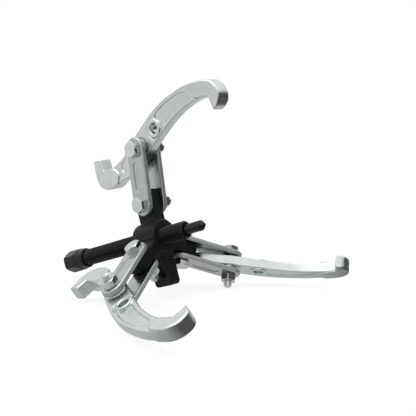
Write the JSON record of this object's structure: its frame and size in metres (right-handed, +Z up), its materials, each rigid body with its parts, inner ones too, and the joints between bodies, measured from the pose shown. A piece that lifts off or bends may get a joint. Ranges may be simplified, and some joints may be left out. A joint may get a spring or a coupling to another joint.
{
  "type": "gear puller",
  "caption": "Mechanical puller: a threaded forcing spindle through a lugged yoke, with hooked reversible jaws hung on pairs of bolted links.",
  "frame": {"origin": "under the middle of the bounding box, on the ground that the puller lies on", "axes": "+Z up, square to the ground; +X level, under the spindle, towards its point; +Y level, to the left of the spindle seen from its hexagon head. The spindle rises 18.25 degrees towards its point."},
  "size_m": [0.2552, 0.2428, 0.191],
  "materials": {
    "black_yoke": "satin black paint over a forged surface",
    "black_spindle": "oiled black oxide on turned steel",
    "zinc_jaw": "bright zinc plate over a drop-forged surface, soft satin shine",
    "zinc_link": "bright zinc plate on pressed steel bar",
    "zinc_fastener": "bright zinc plate on cold-headed bolts and nuts"
  },
  "bodies": {
    "yoke": {"yoke": "black_yoke"},
    "tip": {"centre_tip": "black_spindle"},
    "spindle": {"spindle": "black_spindle"},
    "top_links": {"top_link_near": "zinc_link", "top_link_far": "zinc_link", "top_yoke_bolt": "zinc_fastener", "top_yoke_nut": "zinc_fastener", "top_jaw_bolt": "zinc_fastener", "top_jaw_nut": "zinc_fastener"},
    "top_jaw": {"top_jaw": "zinc_jaw"},
    "left_links": {"left_link_near": "zinc_link", "left_link_far": "zinc_link", "left_yoke_bolt": "zinc_fastener", "left_yoke_nut": "zinc_fastener", "left_jaw_bolt": "zinc_fastener", "left_jaw_nut": "zinc_fastener"},
    "left_jaw": {"left_jaw": "zinc_jaw"},
    "right_links": {"right_link_near": "zinc_link", "right_link_far": "zinc_link", "right_yoke_bolt": "zinc_fastener", "right_yoke_nut": "zinc_fastener", "right_jaw_bolt": "zinc_fastener", "right_jaw_nut": "zinc_fastener"},
    "right_jaw": {"right_jaw": "zinc_jaw"}
  },
  "joints": [
    {"name": "spindle_feed", "type": "slide", "parent": "yoke", "child": "tip", "axis": [0.9497, 0, 0.3132], "range_m": [-0.025, 0.078]},
    {"name": "spindle_turn", "type": "hinge", "parent": "tip", "child": "spindle", "pos_m": [-0.00358, -0.00253, 0.05334], "axis": [0.9497, 0, 0.3132], "range_deg": [-4505, 14045]},
    {"name": "top_link_swing", "type": "hinge", "parent": "yoke", "child": "top_links", "pos_m": [-0.01344, -0.00198, 0.08325], "axis": [0.0552, 0.9985, -0.0002], "range_deg": [-24.5, 25.5]},
    {"name": "top_jaw_swing", "type": "hinge", "parent": "top_links", "child": "top_jaw", "pos_m": [-0.02095, -0.00155, 0.13198], "axis": [0.1047, 0.9944, 0.0163], "range_deg": [-31.5, 12]},
    {"name": "left_link_swing", "type": "hinge", "parent": "yoke", "child": "left_links", "pos_m": [0.00121, -0.03008, 0.03884], "axis": [-0.2464, -0.4846, 0.8393], "range_deg": [-24.5, 25.5]},
    {"name": "left_jaw_swing", "type": "hinge", "parent": "left_links", "child": "left_jaw", "pos_m": [0.01638, -0.07249, 0.0188], "axis": [-0.2188, -0.484, 0.8473], "range_deg": [-15.5, 28]},
    {"name": "right_link_swing", "type": "hinge", "parent": "yoke", "child": "right_links", "pos_m": [0.0015, 0.02447, 0.03794], "axis": [0.2684, -0.515, -0.8141], "range_deg": [-35.5, 14.5]},
    {"name": "right_jaw_swing", "type": "hinge", "parent": "right_links", "child": "right_jaw", "pos_m": [0.02535, 0.06406, 0.02075], "axis": [0.2684, -0.515, -0.8141], "range_deg": [0, 44.5]}
  ],
  "couplings": [
    {"joint": "spindle_turn", "follows": "spindle_feed", "rad_per_m": 3141.6}
  ]
}
